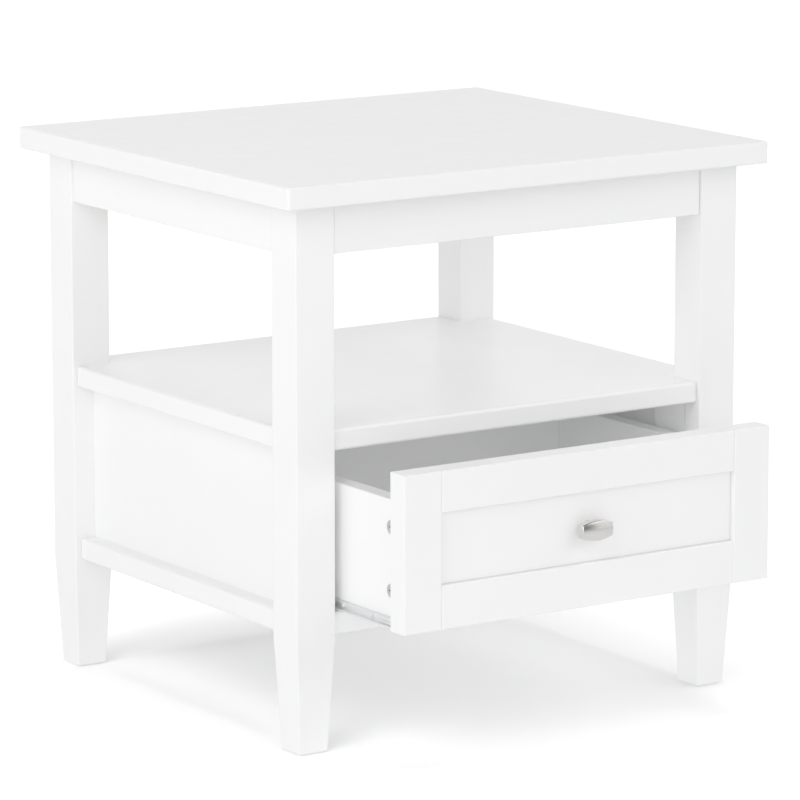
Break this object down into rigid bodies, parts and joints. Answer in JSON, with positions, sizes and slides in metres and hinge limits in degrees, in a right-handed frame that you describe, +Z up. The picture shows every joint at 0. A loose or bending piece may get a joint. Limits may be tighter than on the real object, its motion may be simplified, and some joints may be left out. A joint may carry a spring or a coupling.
{
  "type": "side table",
  "caption": "Square white wooden side table with tapered legs, an open shelf and a panelled drawer below it, which slides on ball-bearing runners and has a metal knob.",
  "frame": {"origin": "on the floor, at the centre of the table's footprint, under the middle of the top", "axes": "+Z up, -Y towards the front, where the drawer opens, and +X to the right as seen from the front"},
  "size_m": [0.508, 0.553, 0.5],
  "materials": {
    "white_lacquer": "satin white lacquer on wood and board",
    "bare_wood": "unpainted hardwood",
    "zinc_steel": "bright zinc plate",
    "cast_zinc": "dull die-cast zinc",
    "cage_steel": "pressed steel strip",
    "ball_steel": "polished bearing steel",
    "brushed_nickel": "brushed nickel",
    "pad_plastic": "matt moulded plastic"
  },
  "bodies": {
    "table": {"apron_back": "white_lacquer", "apron_dowels": "bare_wood", "apron_front": "white_lacquer", "apron_left": "white_lacquer", "apron_right": "white_lacquer", "back_panel": "white_lacquer", "bottom_board": "white_lacquer", "bottom_board_dowels": "bare_wood", "corner_block_back_left": "bare_wood", "corner_block_back_right": "bare_wood", "corner_block_front_left": "bare_wood", "corner_block_front_right": "bare_wood", "foot_pads": "pad_plastic", "leg_back_left": "white_lacquer", "leg_back_right": "white_lacquer", "leg_bolts": "zinc_steel", "leg_front_left": "white_lacquer", "leg_front_right": "white_lacquer", "leg_nuts": "zinc_steel", "leg_washers": "zinc_steel", "shelf_board": "white_lacquer", "shelf_dowels": "bare_wood", "side_panel_left": "white_lacquer", "side_panel_right": "white_lacquer", "slide_block_back_left": "white_lacquer", "slide_block_back_right": "white_lacquer", "slide_block_front_left": "white_lacquer", "slide_block_front_right": "white_lacquer", "slide_outer_left": "zinc_steel", "slide_outer_right": "zinc_steel", "slide_outer_screws": "zinc_steel", "table_top": "white_lacquer", "top_screws": "zinc_steel"},
    "drawer": {"cam_bolts": "zinc_steel", "cam_nuts": "cast_zinc", "drawer_back": "white_lacquer", "drawer_back_screws": "zinc_steel", "drawer_bottom": "white_lacquer", "drawer_front_panel": "white_lacquer", "drawer_rail_bottom": "white_lacquer", "drawer_rail_top": "white_lacquer", "drawer_side_left": "white_lacquer", "drawer_side_right": "white_lacquer", "drawer_stile_left": "white_lacquer", "drawer_stile_right": "white_lacquer", "knob": "brushed_nickel", "knob_screw": "zinc_steel", "slide_inner_left": "zinc_steel", "slide_inner_right": "zinc_steel", "slide_inner_screws": "zinc_steel"},
    "cage_left": {"ball_cage_left": "cage_steel", "balls_left": "ball_steel"},
    "cage_right": {"ball_cage_right": "cage_steel", "balls_right": "ball_steel"}
  },
  "joints": [
    {"name": "drawer_slide", "type": "slide", "parent": "table", "child": "drawer", "axis": [0, -1, 0], "range_m": [-0.104, 0.091]},
    {"name": "cage_left_slide", "type": "slide", "parent": "table", "child": "cage_left", "axis": [0, -1, 0], "range_m": [-0.052, 0.0455]},
    {"name": "cage_right_slide", "type": "slide", "parent": "table", "child": "cage_right", "axis": [0, -1, 0], "range_m": [-0.052, 0.0455]}
  ],
  "couplings": [
    {"joint": "cage_left_slide", "follows": "drawer_slide", "ratio": 0.5},
    {"joint": "cage_right_slide", "follows": "drawer_slide", "ratio": 0.5}
  ]
}
